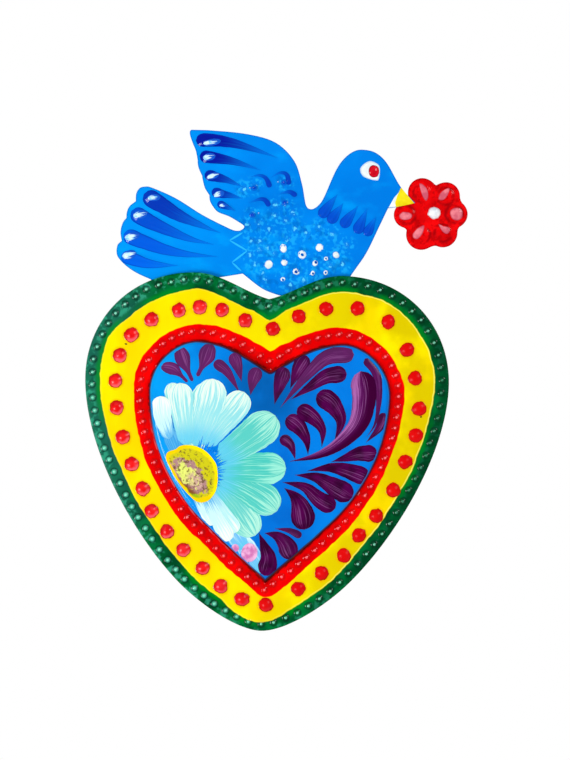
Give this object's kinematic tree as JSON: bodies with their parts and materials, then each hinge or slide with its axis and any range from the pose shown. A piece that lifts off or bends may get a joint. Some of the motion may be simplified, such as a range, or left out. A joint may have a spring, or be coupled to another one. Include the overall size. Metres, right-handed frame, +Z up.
{
  "type": "hanging heart ornament",
  "caption": "Embossed sheet-metal heart wall ornament with a raised puffed heart, a dove on top, a small flower at its beak and a hinged hanging ring behind.",
  "frame": {"origin": "centre of the hanger saddle's flat back, level with the hanging ring's hinge axis", "axes": "+Z up along the heart's axis of symmetry, +X to the viewer's right, the front faces -Y and the wall lies at y = 0"},
  "size_m": [0.1895, 0.0138, 0.2501],
  "materials": {
    "red_enamel": "gloss",
    "blue_enamel": "gloss",
    "sky_enamel": "gloss",
    "flower_enamel": "gloss",
    "bare_tin": "satin",
    "solder": "satin"
  },
  "bodies": {
    "ornament": {"heart_plate": "red_enamel", "puffed_heart": "blue_enamel", "dove_plate": "sky_enamel", "flower_plate": "flower_enamel", "hanger_saddle": "bare_tin", "puffed_heart_solder": "solder", "dove_solder": "solder", "flower_solder": "solder", "saddle_solder": "solder"},
    "ring": {"hanger_ring": "bare_tin"}
  },
  "joints": [
    {"name": "ring_swing", "type": "hinge", "parent": "ornament", "child": "ring", "pos_m": [0, -0.0021, 0], "axis": [1, 0, 0], "range_deg": [0, 160]}
  ]
}
